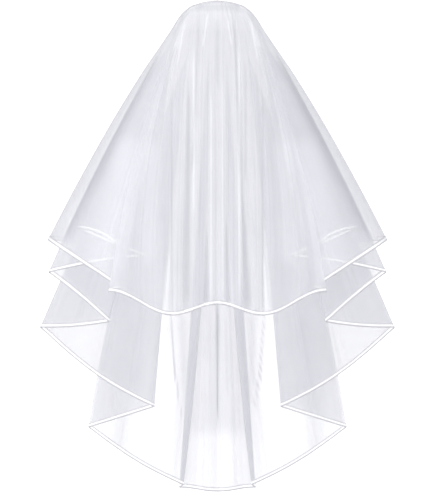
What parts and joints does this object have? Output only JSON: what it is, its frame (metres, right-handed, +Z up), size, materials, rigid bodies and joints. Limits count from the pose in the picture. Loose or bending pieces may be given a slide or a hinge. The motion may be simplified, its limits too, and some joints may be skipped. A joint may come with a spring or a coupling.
{
  "type": "bridal veil",
  "caption": "Bridal veil of soft net tiers with a satin ribbon edge, gathered on a hair comb and hanging in folds as worn.",
  "frame": {"origin": "middle of the comb's spine, where the wearer's hair holds the veil", "axes": "+Z up, -Y to the side seen in the picture, which has the short tier in front, +X to the right as seen from there; the veil hangs down along -Z"},
  "size_m": [0.625, 0.2172, 0.8625],
  "materials": {
    "net": "sheer white net, soft and matt",
    "satin_ribbon": "white satin with a soft sheen",
    "comb_plastic": "clear glossy plastic"
  },
  "bodies": {
    "root": {"top_tier": "net", "lower_tier": "net", "top_ribbon": "satin_ribbon", "lower_ribbon": "satin_ribbon", "hair_comb": "comb_plastic"}
  },
  "joints": []
}
